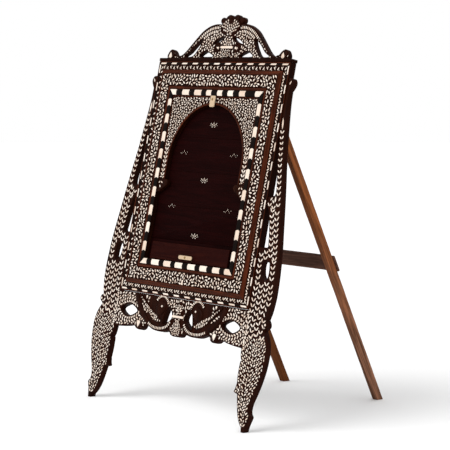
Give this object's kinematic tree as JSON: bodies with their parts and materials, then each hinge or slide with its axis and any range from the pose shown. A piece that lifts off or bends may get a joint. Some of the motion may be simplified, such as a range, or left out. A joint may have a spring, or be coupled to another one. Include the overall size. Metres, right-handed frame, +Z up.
{
  "type": "quran stand",
  "caption": "Folding easel-shaped Quran stand with an inlaid leaning frame, arched niche, carved side boards and hinged rear struts.",
  "frame": {"origin": "on the floor, under the centre of the opened stand", "axes": "+Z up, the front of the stand faces -Y, +X to the stand's right seen from the front"},
  "size_m": [0.6862, 0.5548, 0.9612],
  "materials": {
    "rosewood": "dark polished rosewood inlaid with bone",
    "ebony": "polished ebony chequered with bone",
    "dark_maroon_wood": "dark stained planks",
    "bone": "polished bone",
    "brass": "aged brass",
    "teak": "plain oiled teak, worn towards the feet",
    "aged_rail_wood": "grey-brown unpolished wood",
    "iron": "dull blackened iron"
  },
  "bodies": {
    "front_frame": {"case_rail_bottom": "rosewood", "case_rail_top": "rosewood", "case_stile_left": "rosewood", "case_stile_right": "rosewood", "floral_border_bottom": "rosewood", "floral_border_top": "rosewood", "floral_border_left": "rosewood", "floral_border_right": "rosewood", "arch_panel": "rosewood", "corbel_left": "rosewood", "corbel_right": "rosewood", "crest_plinth": "rosewood", "crest": "rosewood", "crest_shell": "rosewood", "side_board_left": "rosewood", "side_board_right": "rosewood", "front_leg_left": "rosewood", "front_leg_right": "rosewood", "apron": "rosewood", "chequer_fillet_bottom": "ebony", "chequer_fillet_top": "ebony", "chequer_fillet_left": "ebony", "chequer_fillet_right": "ebony", "backboard_plank_1": "dark_maroon_wood", "backboard_plank_2": "dark_maroon_wood", "backboard_plank_3": "dark_maroon_wood", "backboard_plank_4": "dark_maroon_wood", "backboard_plank_5": "dark_maroon_wood", "ledge_board": "dark_maroon_wood", "top_button_pin": "brass", "bottom_button_pin": "brass", "hinge_case_leaf_left": "iron", "hinge_case_leaf_right": "iron", "hinge_pin_left": "iron", "hinge_pin_right": "iron", "case_hinge_screw_left_1": "iron", "case_hinge_screw_left_2": "iron", "case_hinge_screw_right_1": "iron", "case_hinge_screw_right_2": "iron"},
    "rear_strut_frame": {"rear_strut_left": "teak", "rear_strut_right": "teak", "strut_cross_rail": "aged_rail_wood", "hinge_strut_leaf_left": "iron", "hinge_strut_leaf_right": "iron", "strut_hinge_screw_left_1": "iron", "strut_hinge_screw_left_2": "iron", "strut_hinge_screw_right_1": "iron", "strut_hinge_screw_right_2": "iron", "rail_screw_1": "iron", "rail_screw_2": "iron", "rail_screw_3": "iron", "rail_screw_4": "iron"},
    "top_button": {"top_turn_button": "bone"},
    "bottom_button": {"bottom_turn_button": "bone"}
  },
  "joints": [
    {"name": "strut_fold", "type": "hinge", "parent": "front_frame", "child": "rear_strut_frame", "pos_m": [0, -0.09128, 0.73619], "axis": [-1, 0, 0], "range_deg": [0, 37.5]},
    {"name": "top_button_turn", "type": "hinge", "parent": "front_frame", "child": "top_button", "pos_m": [0, -0.10891, 0.75349], "axis": [0, -0.9755, 0.2198], "range_deg": [-90, 90]},
    {"name": "bottom_button_turn", "type": "hinge", "parent": "front_frame", "child": "bottom_button", "pos_m": [0, -0.19498, 0.37157], "axis": [0, -0.9755, 0.2198], "range_deg": [-90, 90]}
  ]
}
